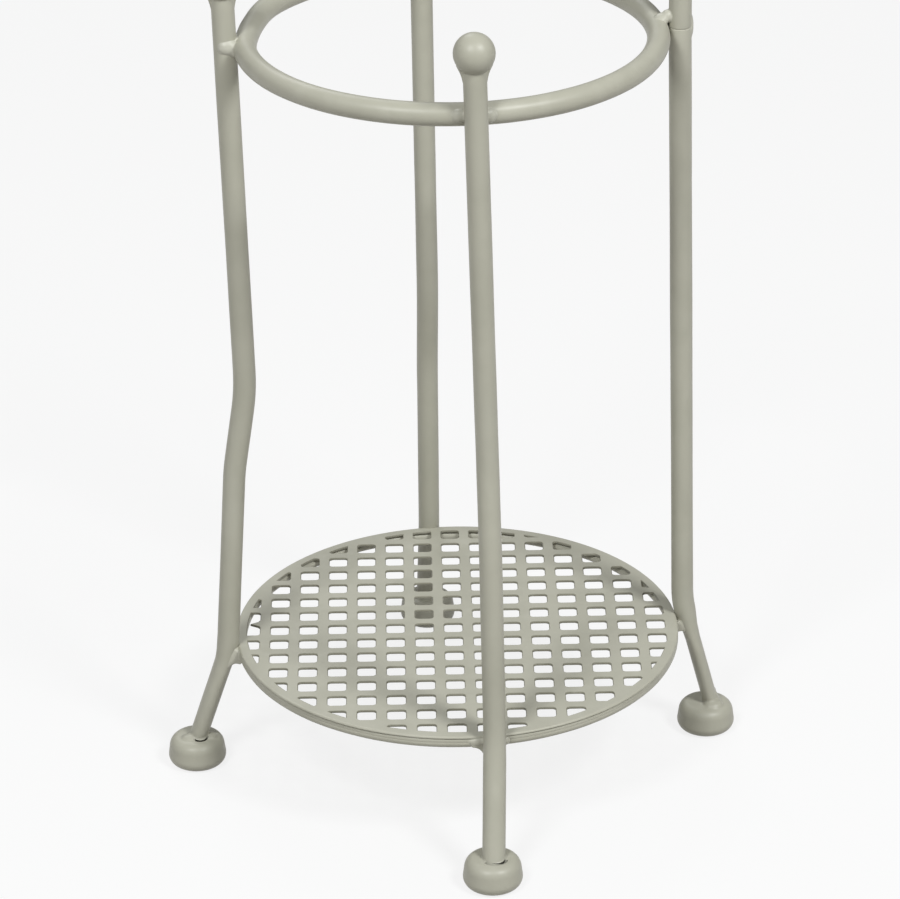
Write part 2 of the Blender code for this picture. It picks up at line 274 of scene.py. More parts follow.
# %% [markdown]
# ## The paint
#
# One coat of satin paint in a greyish sage green, a little chalky. Sprayed paint is never quite even: it has
# a fine orange-peel skin, cloudy places where the coat is thinner and darker, and faint runs down the rods.
# The same paint sits paler and duller on the welds, where it dries on a rough lump. The punched walls of
# the holes and the cracks at the feet get dark paints that are painted shade, for the shade that falls
# there.

# %% The paint's colours
SAGE = (0.475, 0.466, 0.388)
SAGE_DEEP = (0.415, 0.408, 0.334)
SAGE_CHALK = (0.530, 0.522, 0.445)
WELD_CHALK = (0.545, 0.538, 0.462)
# The next colour is painted shade: a dark grey for the shade on the walls of the holes.
PAINTED_SHADE_GREY = (0.230, 0.222, 0.170)
# The next colour is painted shade: a near black for the shade inside the cracks at the feet.
PAINTED_SHADE_BLACK = (0.040, 0.038, 0.030)
SKIN_DEPTH = 0.00022


def sprayed_paint(name, base, deep, chalk, cloud_share, lump_depth):
    """Paint of one colour with deeper clouds, chalkier runs and a rough skin."""
    paint = Paint(name)
    clouds = paint.noise(38.0, 3.0, 0.55)
    runs = paint.noise(120.0, 2.0, 0.5, stretch=(1.0, 1.0, 0.16))
    peel = paint.noise(1100.0, 1.0, 0.4)
    lumps = paint.noise(260.0, 2.0, 0.5)
    tone = paint.blend(clouds.between(0.42, 0.62) * cloud_share, base, deep)
    tone = paint.blend(runs.between(0.55, 0.75) * 0.35, tone, chalk)
    paint.set("Base Color", tone)
    paint.set("Roughness", 0.34 + 0.10 * clouds + 0.05 * peel)
    paint.set("Metallic", 0.0)
    paint.set("Specular IOR Level", 0.45)
    height = peel * 0.10 + lumps * (lump_depth * 0.5)
    paint.bump(height, SKIN_DEPTH)
    return paint.material


sage_paint = sprayed_paint("sage_paint", SAGE, SAGE_DEEP, SAGE_CHALK, 0.55, 0.5)
weld_paint = sprayed_paint("weld_paint", WELD_CHALK, SAGE, SAGE_CHALK, 0.80, 1.4)
# Painted shade: a dark grey paint for the walls of the holes, standing in for the shade in them.
hole_wall_shade = sprayed_paint("hole_wall_shade", PAINTED_SHADE_GREY, SAGE_DEEP, SAGE, 0.30, 0.5)
# Painted shade: a near-black paint for the cracks at the feet, standing in for the shade inside them.
crack_shade = sprayed_paint("crack_shade", PAINTED_SHADE_BLACK, PAINTED_SHADE_BLACK, PAINTED_SHADE_GREY, 0.30, 0.5)
print("paints:", sage_paint.name, weld_paint.name, hole_wall_shade.name, crack_shade.name)

# %% [markdown]
# ## Working by hand in code
#
# The operators act on whatever is selected, so each step starts with nothing selected, and picks its faces
# or edges by their place. These few helpers do what a hand does between two tools.


# %% Selecting and applying
def let_go():
    """Leaves edit mode and selects nothing."""
    if bpy.context.object and bpy.context.object.mode != "OBJECT":
        bpy.ops.object.mode_set(mode="OBJECT")
    bpy.ops.object.select_all(action="DESELECT")


def pick(*pieces):
    """Selects these objects alone; the last one is the active one."""
    let_go()
    for piece in pieces:
        piece.select_set(True)
    bpy.context.view_layer.objects.active = pieces[-1]


def edit(piece, mode="FACE"):
    """Opens the piece in edit mode with everything selected."""
    pick(piece)
    bpy.ops.object.mode_set(mode="EDIT")
    bpy.ops.mesh.select_mode(type=mode)
    bpy.ops.mesh.select_all(action="SELECT")


def done():
    bpy.ops.object.mode_set(mode="OBJECT")


def edit_only(piece, wanted):
    """Opens the piece in edit mode with only those vertices selected whose place is wanted."""
    edit(piece, "VERT")
    bpy.ops.mesh.select_all(action="DESELECT")
    done()
    for vertex in piece.data.vertices:
        vertex.select = wanted(vertex.co)
    bpy.ops.object.mode_set(mode="EDIT")


def settle(piece):
    """Puts the piece's place, turn and size in its mesh."""
    pick(piece)
    bpy.ops.object.transform_apply(location=True, rotation=True, scale=True)


def modify(piece, kind, **settings):
    """Adds a modifier and applies it."""
    pick(piece)
    modifier = piece.modifiers.new(kind.lower(), kind)
    for key, value in settings.items():
        setattr(modifier, key, value)
    bpy.ops.object.modifier_apply(modifier=modifier.name)


# %% Copying, joining and finishing
SMOOTH_ANGLE = math.radians(50.0)


def copy_of(piece, name):
    """A copy with its own mesh."""
    twin = piece.copy()
    twin.data = piece.data.copy()
    twin.name = name
    bpy.context.scene.collection.objects.link(twin)
    return twin


def join(name, *pieces):
    pick(*pieces)
    bpy.ops.object.join()
    whole = bpy.context.object
    whole.name = name
    return whole


def drop(*pieces):
    let_go()
    for piece in pieces:
        bpy.data.objects.remove(piece, do_unlink=True)


def smooth(piece):
    pick(piece)
    bpy.ops.object.shade_smooth_by_angle(angle=SMOOTH_ANGLE)


def finish_piece(piece, paint, slot, *nodes):
    """Gives the piece its paint, and lets it stand for its CAD nodes and ride on the stand."""
    piece.data.materials.clear()
    piece.data.materials.append(paint)
    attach(piece, "root")
    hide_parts(*nodes)
    print(piece.name, "faces:", len(piece.data.polygons))


# %% [markdown]
# ## Bent rod
#
# A leg is one length of round bar, cold bent. As by hand: a disc is drawn for the bar's end, extruded along
# each straight length, and spun round each bend's centre. Short steps give room for the slight wave that
# hand-bent bar keeps. Bending the short foot ends flattened the bar there, so between two steps the open end
# is scaled from one section to the next.

# %% The section of the bar
# The widths across X and across Y at the foot, as shares of a round bar's. Above OVAL_TOP the bar is round.
OVAL_TOP = 0.0520
OVAL_LOW = 0.0430
OVALS = {"right": (0.67, 1.06), "left": (0.80, 1.04), "front": (1.03, 0.95), "back": (1.03, 0.85)}


def section(height, oval):
    """The bar's two widths at a height, as shares of a round bar's."""
    share = min(max((height - OVAL_LOW) / (OVAL_TOP - OVAL_LOW), 0.0), 1.0)
    return [width + (1.0 - width) * share for width in oval]


def reshape(before, after, place):
    """Scales the bar's open end from one section to another."""
    change = [new / old for old, new in zip(before, after)]
    if change != [1.0, 1.0]:
        bpy.ops.transform.resize(value=(*change, 1.0), center_override=place)


# %% The rod tool
ROD_SIDES = 40
STEP = 0.006
BEND_STEP = 5.0
LEAST_BEND_STEPS = 5
MERGE = 0.00001


def rod_along(name, corners, bends, oval=(1.0, 1.0)):
    """A rod through the corners, with a bend of the given radius at each inner corner."""
    first = (corners[1] - corners[0]).normalized()
    bpy.ops.mesh.primitive_circle_add(
        vertices=ROD_SIDES,
        radius=ROD,
        fill_type="NGON",
        location=corners[0],
        rotation=first.to_track_quat("Z", "Y").to_euler(),
    )
    rod = bpy.context.object
    rod.name = name
    settle(rod)
    edit(rod)
    here = corners[0].copy()
    shape = section(here.z, oval)
    reshape((1.0, 1.0), shape, here)
    for index in range(1, len(corners)):
        corner = corners[index]
        ahead = (corner - corners[index - 1]).normalized()
        if index == len(corners) - 1:
            target = corner
        else:
            after = (corners[index + 1] - corner).normalized()
            turn = ahead.angle(after)
            trim = bends[index - 1] * math.tan(turn / 2)
            target = corner - ahead * trim
        steps = max(1, math.ceil((target - here).length / STEP))
        stride = (target - here) / steps
        for _ in range(steps):
            bpy.ops.mesh.extrude_region_move(TRANSFORM_OT_translate={"value": stride})
            here = here + stride
            reshape(shape, section(here.z, oval), here)
            shape = section(here.z, oval)
        if index < len(corners) - 1:
            axis = ahead.cross(after).normalized()
            centre = target + axis.cross(ahead) * bends[index - 1]
            count = max(LEAST_BEND_STEPS, math.ceil(math.degrees(turn) / BEND_STEP))
            swing = Matrix.Rotation(turn / count, 3, axis)
            for _ in range(count):
                bpy.ops.mesh.spin(steps=1, angle=-turn / count, center=centre, axis=axis)
                here = centre + swing @ (here - centre)
                reshape(shape, section(here.z, oval), here)
                shape = section(here.z, oval)
    bpy.ops.mesh.select_all(action="SELECT")
    bpy.ops.mesh.remove_doubles(threshold=MERGE)
    bpy.ops.mesh.normals_make_consistent(inside=False)
    done()
    return rod


# %% The waviness of hand work
END_ROUND = 0.0003
ROD_WAVE = 0.00022
wave = bpy.data.textures.new("hand_wave", "CLOUDS")
wave.noise_scale = 0.045
ripple = bpy.data.textures.new("weld_ripple", "CLOUDS")
ripple.noise_scale = 0.0035


def waver(piece, strength):
    modify(piece, "DISPLACE", texture=wave, texture_coords="LOCAL", strength=strength, mid_level=0.5)


def round_ends(rod):
    """Bevels the sharp edge round each cut end of a rod."""
    modify(rod, "BEVEL", width=END_ROUND, segments=4, limit_method="ANGLE", angle_limit=math.radians(60))


# %% The four legs
CRANK_TOP = 0.1580
CRANK_LOW = 0.1250
CRANK_INSET = 0.0028
CRANK_OUTSET = 0.0043
CRANK_BEND = 0.090
FLARE_BEND = 0.045

# Each bend's own slip from the plan, as the photo shows it: outward, and in degrees round the axis.
SLIPS = {
    "right": [(0.0005, 0.0)],
    "back": [(0.0, 0.0), (0.0, 0.0), (0.0, 0.0)],
    "left": [(0.0004, 0.0), (-0.0008, 0.0), (-0.0002, 0.0)],
    "front": [(0.0, -0.36), (0.0, 0.40), (0.0, 0.80)],
}


def slip(name, index, place):
    """Moves a bend of a leg by its own slip."""
    outward, degrees = SLIPS[name][index]
    flat = Vector((place.x, place.y, 0.0))
    moved = place + flat.normalized() * outward
    return Matrix.Rotation(math.radians(degrees), 3, "Z") @ moved


def leg_corners(name):
    """The corners of a leg's centre-line, from inside its foot to its top, and the radii of its bends."""
    leg = LEGS[name]
    contact = around(leg.base, base_distance(leg), HOOP_HEIGHT)
    entry = socket_place(name)
    run = (entry - contact) / (HOOP_HEIGHT - FOOT_HEIGHT)
    corners = [entry + run * SOCKET_DEPTH, slip(name, 0, contact + run * (HOOP_HEIGHT - leg.bend))]
    if name == "right":
        return corners + [around(leg.ring, ring_distance(leg), SEAM_HEIGHT - CLEARANCE)], [FLARE_BEND]
    lean = CRANK_INSET / (RING_HEIGHT - CRANK_TOP)
    upper = [
        (base_distance(leg) - CRANK_OUTSET, CRANK_LOW),
        (ring_distance(leg) - CRANK_INSET, CRANK_TOP),
        (ring_distance(leg) + lean * (LEG_TOP - RING_HEIGHT), LEG_TOP),
    ]
    for distance, height in upper:
        share = (height - HOOP_HEIGHT) / (RING_HEIGHT - HOOP_HEIGHT)
        corners.append(around(leg.base + (leg.ring - leg.base) * share, distance, height))
    corners[2] = slip(name, 1, corners[2])
    corners[3] = slip(name, 2, corners[3])
    return corners, [FLARE_BEND, CRANK_BEND, CRANK_BEND]


rods = {}
for name in LEGS:
    corners, bends = leg_corners(name)
    rods[name] = rod_along("rod_" + name, corners, bends, OVALS[name])
    round_ends(rods[name])
    waver(rods[name], ROD_WAVE)
    print(name, "leg, corners:", len(corners), "faces:", len(rods[name].data.polygons))

# %% [markdown]
# ## The post and the roll arm
#
# The post stands on the cut end of the right leg, so it is drawn as the same bar, with its own slightly
# rounded end. It turns over the middle of the stand, and its tip turns up a little, so that nothing slides
# off.

# %% Post and arm
ARM_HEIGHT = 0.6000
ARM_REACH = 0.0480
ARM_TIP = 0.0160
ARM_TIP_RISE = math.radians(18.0)
ARM_BENDS = [0.028, 0.020]

elbow = Vector((-ARM_REACH, 0.0, ARM_HEIGHT))
tip = elbow + Vector((-math.cos(ARM_TIP_RISE), 0.0, math.sin(ARM_TIP_RISE))) * ARM_TIP
arm_corners = [Vector((POST_RADIUS, 0.0, SEAM_HEIGHT)), Vector((POST_RADIUS, 0.0, ARM_HEIGHT)), elbow, tip]
rods["arm"] = rod_along("rod_arm", arm_corners, ARM_BENDS)
round_ends(rods["arm"])
waver(rods["arm"], ROD_WAVE)
print("arm faces:", len(rods["arm"].data.polygons))

# %% [markdown]
# ## The ring and the hoop
#
# Both are bar rolled into a circle and welded shut. A circle is drawn across the rim and spun once round the
# stand's axis; the doubled seam is then merged, so the ring is one closed skin. Hand rolling left the ring a
# little flat behind the left leg, which proportional editing pushes in. The hoop also gets a thin bead of
# paint, which fills the crack between the wire and the sheet on it and leaves only a shallow crease.

# %% The rim tool
RIM_STEPS = 180
RIM_MERGE = 0.00002


def rim(name, distance, height, radius, sides):
    """A round bar bent into a level circle."""
    bpy.ops.mesh.primitive_circle_add(
        vertices=sides, radius=radius, location=(distance, 0.0, height), rotation=(math.pi / 2, 0.0, 0.0)
    )
    bar = bpy.context.object
    bar.name = name
    settle(bar)
    edit(bar, "EDGE")
    bpy.ops.mesh.spin(steps=RIM_STEPS, angle=math.tau, center=(0.0, 0.0, height), axis=(0.0, 0.0, 1.0))
    bpy.ops.mesh.select_all(action="SELECT")
    bpy.ops.mesh.remove_doubles(threshold=RIM_MERGE)
    bpy.ops.mesh.normals_make_consistent(inside=False)
    done()
    return bar


# %% The ring and its flat place
DENT_TURN = 166.0
DENT_REACH = 0.024
DENT_DEPTH = 0.0013
RING_WAVE = 0.00030

let_go()
ring = rim("ring_bar", RING_RADIUS, RING_HEIGHT, ROD, ROD_SIDES)
waver(ring, RING_WAVE)
dent = around(DENT_TURN, RING_RADIUS, RING_HEIGHT)
edit_only(ring, lambda place: (place - dent).length < 1.4 * ROD)
bpy.ops.transform.translate(
    value=-DENT_DEPTH * around(DENT_TURN, 1.0, 0.0),
    use_proportional_edit=True,
    proportional_edit_falloff="SMOOTH",
    proportional_size=DENT_REACH,
)
done()
print("ring faces:", len(ring.data.polygons))

# %% The hoop and the bead in its crease
HOOP_SIDES = 20
HOOP_WAVE = 0.00020
BEAD_SIDES = 16
BEAD_WAVE = 0.00024
BEAD_RADIUS = 0.0014
BEAD_INSET = 0.00148
BEAD_DROP = 0.0021

wire = rim("wire", HOOP_RADIUS, HOOP_HEIGHT, HOOP_WIRE, HOOP_SIDES)
bead = rim("crease_bead", BASE_RADIUS - BEAD_INSET, BASE_TOP - BEAD_DROP, BEAD_RADIUS, BEAD_SIDES)
waver(bead, BEAD_WAVE)
for piece in (bead, wire):
    waver(piece, HOOP_WAVE)
hoop = join("hoop_wire", copy_of(bead, "hoop_bead"), copy_of(wire, "hoop_wire"))
print("hoop faces:", len(hoop.data.polygons))

# %% [markdown]
# ## The perforated sheet
#
# The base is punched sheet, cut round, with rows of square holes whose corners the paint has rounded. One
# hole punch is made from a plane with bevelled corners, copied over the grid, and trimmed by the circle
# where the hoop closes the pattern off. Cutting them all out of one disc and bevelling what is left gives
# the soft painted lip round every hole.

# %% One hole punch
PITCH = 0.0112
HOLE = 0.0070
HOLE_CORNER = 0.0013
HOLE_LIMIT = BASE_RADIUS - 2 * HOOP_WIRE - 0.0002
LEAST_DEPTH = 0.0016
PATTERN_X = -0.0016
PATTERN_Y = -0.0005
PATTERN_TURN = math.radians(-5.0)
PUNCH_REACH = 0.004

let_go()
bpy.ops.mesh.primitive_plane_add(size=HOLE, location=(0.0, 0.0, BASE_TOP - PUNCH_REACH))
punch = bpy.context.object
settle(punch)
edit(punch, "VERT")
bpy.ops.mesh.bevel(offset=HOLE_CORNER, segments=4, affect="VERTICES")
bpy.ops.mesh.select_all(action="SELECT")
bpy.ops.mesh.extrude_region_move(TRANSFORM_OT_translate={"value": (0.0, 0.0, 2 * PUNCH_REACH)})
bpy.ops.mesh.select_all(action="SELECT")
bpy.ops.mesh.normals_make_consistent(inside=False)
done()

# %% The grid of punches
pattern_turn = Matrix.Rotation(PATTERN_TURN, 4, "Z")
count = math.ceil(HOLE_LIMIT / PITCH)
punches = []
for row in range(-count, count + 1):
    for column in range(-count, count + 1):
        place = Vector((column * PITCH + PATTERN_X, row * PITCH + PATTERN_Y, 0.0))
        near = Vector((max(abs(place.x) - HOLE / 2, 0.0), max(abs(place.y) - HOLE / 2, 0.0)))
        if near.length < HOLE_LIMIT - LEAST_DEPTH:
            twin = copy_of(punch, "punch")
            twin.data.transform(pattern_turn @ Matrix.Translation(place))
            punches.append(twin)
print("holes:", len(punches))

# %% The torn web
# Between two holes beside the left leg the web has torn out, but for a small three-cornered stub.
TORN_COLUMN = -7
TORN_ROW = 0.5
GAP_LENGTH = 0.68
STUB_RADIUS = 0.0034
STUB_SHIFT = 0.0030
STUB_DEPTH = 0.02

torn = Vector((TORN_COLUMN * PITCH + PATTERN_X, TORN_ROW * PITCH + PATTERN_Y, 0.0))
gap = copy_of(punch, "gap")
gap.data.transform(Matrix.Diagonal((1.0, GAP_LENGTH, 1.0, 1.0)))
let_go()
bpy.ops.mesh.primitive_cylinder_add(
    vertices=3,
    radius=STUB_RADIUS,
    depth=STUB_DEPTH,
    location=(STUB_SHIFT, 0.0, BASE_TOP),
    rotation=(0.0, 0.0, math.radians(90)),
)
stub = bpy.context.object
settle(stub)
modify(gap, "BOOLEAN", operation="DIFFERENCE", solver="EXACT", object=stub)
gap.data.transform(pattern_turn @ Matrix.Translation(torn))
drop(punch, stub)
grid = join("hole_grid", *punches)
print("grid faces:", len(grid.data.polygons))

# %% The disc, its holes and its painted edges
DISC_SIDES = 192
LIMIT_REACH = 0.003
RIM_ROUND = 0.00075
HOLE_ROUND = 0.00028
SHEET_MERGE = 0.00003


def disc(name, radius, low, height):
    let_go()
    bpy.ops.mesh.primitive_cylinder_add(
        vertices=DISC_SIDES, radius=radius, depth=height, location=(0.0, 0.0, low + height / 2)
    )
    slab = bpy.context.object
    slab.name = name
    settle(slab)
    return slab


limit = disc("limit", HOLE_LIMIT, BASE_TOP - LIMIT_REACH, 2 * LIMIT_REACH)
for cutter in (grid, gap):
    modify(cutter, "BOOLEAN", operation="INTERSECT", solver="EXACT", object=limit)
sheet = disc("perforated_sheet", BASE_RADIUS, BASE_TOP - SHEET, SHEET)
edit_only(sheet, lambda place: place.z > BASE_TOP - SHEET / 2)
bpy.ops.mesh.bevel(offset=RIM_ROUND, segments=5)
done()
for cutter in (grid, gap):
    modify(sheet, "BOOLEAN", operation="DIFFERENCE", solver="EXACT", object=cutter)
drop(grid, gap, limit)
edit(sheet)
bpy.ops.mesh.remove_doubles(threshold=SHEET_MERGE)
bpy.ops.mesh.dissolve_limited(angle_limit=math.radians(1.0))
done()
modify(
    sheet,
    "BEVEL",
    width=HOLE_ROUND,
    segments=2,
    limit_method="ANGLE",
    angle_limit=math.radians(50),
    use_clamp_overlap=False,
)
print("sheet faces:", len(sheet.data.polygons))

# %% [markdown]
# ## Weld metal and paint fillets
#
# Where two rods are welded and sprayed, the joint is one smooth hollow curve. To get it, the ends of both
# rods near the joint are copied and cropped, and a few egg-shaped drops of weld are added, with a flat web
# where the photograph shows a filled corner with a hollow edge. The lot is remeshed into one skin, smoothed
# and made a little uneven. That pulls the copied rods in by a hair, so they hide inside the real ones, and
# only the drops and the filled corner between the rods show. The hoop's wire and its bead are cropped one by
# one, because bisect doesn't fill two outlines that overlap in the same way each time.


# %% Cropping a copy round a joint
def cropped(piece, name, centre, reach):
    """A copy of the piece, kept only within a box round the centre."""
    part = copy_of(piece, name)
    edit(part)
    for axis in range(3):
        for side in (-1.0, 1.0):
            normal = Vector((0.0, 0.0, 0.0))
            normal[axis] = side
            bpy.ops.mesh.select_all(action="SELECT")
            bpy.ops.mesh.bisect(
                plane_co=centre + normal * reach[axis], plane_no=normal, use_fill=True, clear_outer=True
            )
    done()
    return part


# %% A drop of weld, and the fillet tool
def drop_of_weld(place, sizes, degrees=0.0):
    """An egg with its half sizes out from the axis, along the rim and up."""
    let_go()
    bpy.ops.mesh.primitive_uv_sphere_add(segments=24, ring_count=16, radius=1.0, location=place)
    egg = bpy.context.object
    egg.scale = sizes
    egg.rotation_euler = (0.0, 0.0, math.radians(degrees))
    settle(egg)
    return egg


def fused(name, parts, voxel, rounds, lump=0.0):
    """Joins the parts into one smooth skin."""
    whole = join(name, *parts)
    modify(whole, "REMESH", mode="VOXEL", voxel_size=voxel, adaptivity=0.0)
    modify(whole, "SMOOTH", factor=0.5, iterations=rounds)
    if lump:
        modify(whole, "DISPLACE", texture=ripple, texture_coords="LOCAL", strength=lump, mid_level=1.0)
        modify(whole, "SMOOTH", factor=0.5, iterations=3)
    return whole


# %% The drops of weld at the ring and at the base
# Each drop: how far out, along the rim and up from the point where the leg touches it, then its half sizes
# out, along and up. A joint is welded where the torch could reach, so no two have the same drops. A joint's
# skin reaches from low to high only: where it is left out, the crack between the two rods stays open and
# dark.
Drop = namedtuple("Drop", "out along up half_out half_along half_up")
Joint = namedtuple("Joint", "low high voxel rounds drops")
RING_JOINTS = {
    "right": Joint(0.0014, 0.0110, 0.00030, 34, [
        Drop(-0.0024, -0.0006, 0.0038, 0.0034, 0.0030, 0.0020),
        Drop(-0.0008, -0.0004, 0.0046, 0.0020, 0.0026, 0.0024),
        Drop(-0.0001, 0.0036, -0.0014, 0.0020, 0.0018, 0.0050),
    ]),
    "back": Joint(-0.0110, 0.0110, 0.00034, 40, [
        Drop(0.0, 0.0036, 0.0, 0.0028, 0.0034, 0.0036),
        Drop(0.0, -0.0036, 0.0, 0.0028, 0.0034, 0.0036),
    ]),
    "left": Joint(-0.0034, 0.0110, 0.00030, 22, [
        Drop(0.0034, 0.0034, 0.0006, 0.0036, 0.0020, 0.0030),
        Drop(0.0004, 0.0036, -0.0002, 0.0026, 0.0020, 0.0032),
        Drop(0.0, -0.0034, 0.0, 0.0024, 0.0026, 0.0032),
    ]),
    "front": Joint(-0.0110, 0.0110, 0.00030, 26, [
        Drop(0.0006, -0.0054, 0.0008, 0.0022, 0.0030, 0.0026),
        Drop(0.0008, 0.0050, 0.0004, 0.0022, 0.0028, 0.0030),
    ]),
}
BASE_JOINTS = {
    "right": Joint(-0.0110, 0.0110, 0.00034, 36, [
        Drop(0.0004, 0.0030, -0.0008, 0.0026, 0.0036, 0.0030),
    ]),
    "back": Joint(-0.0110, 0.0110, 0.00034, 36, [
        Drop(0.0, 0.0038, -0.0008, 0.0026, 0.0034, 0.0028),
        Drop(0.0, -0.0038, -0.0008, 0.0026, 0.0034, 0.0028),
    ]),
    "left": Joint(-0.0110, 0.0110, 0.00034, 30, [
        Drop(0.0, -0.0032, -0.0010, 0.0022, 0.0028, 0.0026),
    ]),
    "front": Joint(-0.0110, 0.0110, 0.00034, 30, [
        Drop(0.0002, -0.0052, 0.0009, 0.0019, 0.0048, 0.0020),
        Drop(0.0, 0.0040, 0.0002, 0.0022, 0.0022, 0.0022),
    ]),
}

# %% Webs of weld
# Between a side leg and the hoop: where the web starts along the rim, its depth towards the front, and its
# outline seen from the front, as distances outward and heights. Its underside is a hollow arch.
SADDLES = {
    "left": (0.0010, 0.0052, [
        (-0.0020, 0.0024), (0.0016, 0.0024), (0.0034, -0.0004), (0.0046, -0.0052), (0.0038, -0.0049),
        (0.0029, -0.0042), (0.0019, -0.0038), (0.0010, -0.0039), (0.0002, -0.0044), (-0.0004, -0.0042),
        (-0.0020, -0.0026),
    ]),
    "right": (-0.0010, -0.0044, [
        (-0.0018, 0.0004), (0.0022, 0.0004), (0.0036, -0.0014), (0.0050, -0.0062), (0.0041, -0.0057),
        (0.0031, -0.0047), (0.0020, -0.0041), (0.0011, -0.0042), (0.0003, -0.0047), (-0.0006, -0.0040),
        (-0.0018, -0.0026),
    ]),
}

# Beside the front leg: the web's corner along the rim, down and back from where they touch, the length of
# its two sides, its depth towards the front, and how deep it is rooted.
FRONT_WEB_SIDE, FRONT_WEB_DROP, FRONT_WEB_BACK = 0.0040, 0.0016, 0.0016
FRONT_WEB_SIZE, FRONT_WEB_DEPTH, FRONT_WEB_ROOT = 0.0048, 0.0031, 0.0016
WEB_STEPS = 10
DOWN = Vector((0.0, 0.0, -1.0))


def plate(outline, depth):
    """A flat piece of weld with the given outline, made thick along a vector."""
    shape = bpy.data.meshes.new("plate")
    shape.from_pydata(outline, [], [tuple(range(len(outline)))])
    piece = bpy.data.objects.new("plate", shape)
    bpy.context.scene.collection.objects.link(piece)
    edit(piece)
    bpy.ops.mesh.extrude_region_move(TRANSFORM_OT_translate={"value": depth})
    bpy.ops.mesh.select_all(action="SELECT")
    bpy.ops.mesh.normals_make_consistent(inside=False)
    done()
    return piece


def web(corner, wide, toward, depth, reach):
    """A piece of weld that fills a corner between two directions with a hollow curve."""
    curve = [math.radians(90 * step / WEB_STEPS) for step in range(WEB_STEPS + 1)]
    outline = [wide * (1 - math.sin(turn)) + toward * (1 - math.cos(turn)) for turn in curve]
    back = -(wide.normalized() + toward.normalized()) * reach
    outline += [toward + back.project(wide), back, wide + back.project(toward)]
    return plate([corner + place for place in outline], depth)


def base_webs(name, contact):
    """The webs where a leg touches the base: a fillet beside the front leg, an arch at each side leg."""
    out = around(LEGS[name].base, 1.0, 0.0)
    along = around(LEGS[name].base + 90.0, 1.0, 0.0)
    if name == "front":
        corner = contact - along * FRONT_WEB_SIDE + DOWN * FRONT_WEB_DROP - out * FRONT_WEB_BACK
        wide, toward = -along * FRONT_WEB_SIZE, DOWN * FRONT_WEB_SIZE
        return [web(corner, wide, toward, out * FRONT_WEB_DEPTH, FRONT_WEB_ROOT)]
    if name in SADDLES:
        first, depth, outline = SADDLES[name]
        start = contact - along * first
        return [plate([start + out * x - DOWN * z for x, z in outline], along * depth)]
    return []


# %% The joint tool
REACH = 0.013
WELD_LUMP = 0.00030


def weld_joint(name, turn_here, contact, joint, *pieces, webs=()):
    """The skin over a joint: the pieces near it, with drops of weld placed from the point of contact."""
    out = around(turn_here, 1.0, 0.0)
    along = around(turn_here + 90.0, 1.0, 0.0)
    centre = contact + Vector((0.0, 0.0, (joint.low + joint.high) / 2))
    reach = (REACH, REACH, (joint.high - joint.low) / 2)
    parts = [cropped(piece, "near_" + piece.name, centre, reach) for piece in pieces]
    parts += webs
    for spot in joint.drops:
        place = contact + out * spot.out + along * spot.along + Vector((0.0, 0.0, spot.up))
        parts.append(drop_of_weld(place, (spot.half_out, spot.half_along, spot.half_up), turn_here))
    skin = fused(name, parts, joint.voxel, joint.rounds, WELD_LUMP)
    print(name, "faces:", len(skin.data.polygons))
    return skin


# %% The joints
ring_welds = {}
base_welds = {}
for name, leg in LEGS.items():
    contact = around(leg.ring, ring_distance(leg) - ROD, RING_HEIGHT)
    pieces = [rods[name], ring] + ([rods["arm"]] if name == "right" else [])
    ring_welds[name] = weld_joint("fillet_ring_" + name, leg.ring, contact, RING_JOINTS[name], *pieces)
    contact = around(leg.base, base_distance(leg) - ROD, HOOP_HEIGHT)
    webs = base_webs(name, contact)
    pieces = [rods[name], wire, bead]
    joint = BASE_JOINTS[name]
    base_welds[name] = weld_joint("fillet_base_" + name, leg.base, contact, joint, *pieces, webs=webs)
drop(wire, bead)

# %% The weld over the seam of the post
SEAM_TURN = 12.0
seam = Vector((POST_RADIUS, 0.0, SEAM_HEIGHT))
SEAM_JOINT = Joint(-0.0110, 0.0110, 0.00028, 16, [
    Drop(ROD - 0.0009, 0.0, -0.0004, 0.0018, 0.0028, 0.0060),
    Drop(0.0, 0.0, 0.0, ROD - 0.0005, ROD - 0.0005, 0.0010),
])
post_weld = weld_joint("fillet_post", SEAM_TURN, seam, SEAM_JOINT, rods["right"], rods["arm"])

# %% [markdown]
# ## The feet
#
# Each foot is a bun turned on a lathe, with a wide flat top, a soft shoulder and a side that widens towards
# the floor. Its outline is drawn beside the axis and spun round it. The leg runs into a socket a little off
# the middle. Weld and paint fill the joint in a low fillet, but for a thin crescent that is left open in
# front.

# %% Sizes of the feet and their welds
# A slit: the side it is on, in degrees, half its width, and how far out from the rod's middle it starts.
Slit = namedtuple("Slit", "side half_width start")
SLITS = {
    "front": Slit(278.0, 0.00060, 0.0028),
    "left": Slit(283.0, 0.00042, 0.0036),
    "back": Slit(90.0, 0.00050, 0.0028),
}
SLIT_SHIFT = 0.0006
SLIT_HEIGHT = 5.0
HEEL_WIDE, HEEL_TALL = 0.0034, 0.0038
SHOULDER_INSET, SHOULDER_WIDE, SHOULDER_TALL = 0.0044, 0.0039, 0.0042
FOOT_CROWN = 0.0004
LIP_WIDE, LIP_TALL, LIP_DROP = 0.0007, 0.0009, 0.0004
NEAR_FOOT = (0.0125, 0.0125, 0.0060)

# Lumps of weld on a foot: the place from the socket, then the half sizes.
LUMPS = {
    "right": [((0.0006, -0.0036, -0.0004), (0.0040, 0.0034, 0.0019))],
    "left": [
        ((-0.0036, -0.0020, -0.0006), (0.0036, 0.0030, 0.0015)),
        ((0.0042, -0.0014, -0.0006), (0.0028, 0.0028, 0.0015)),
    ],
    "front": [],
    "back": [],
}

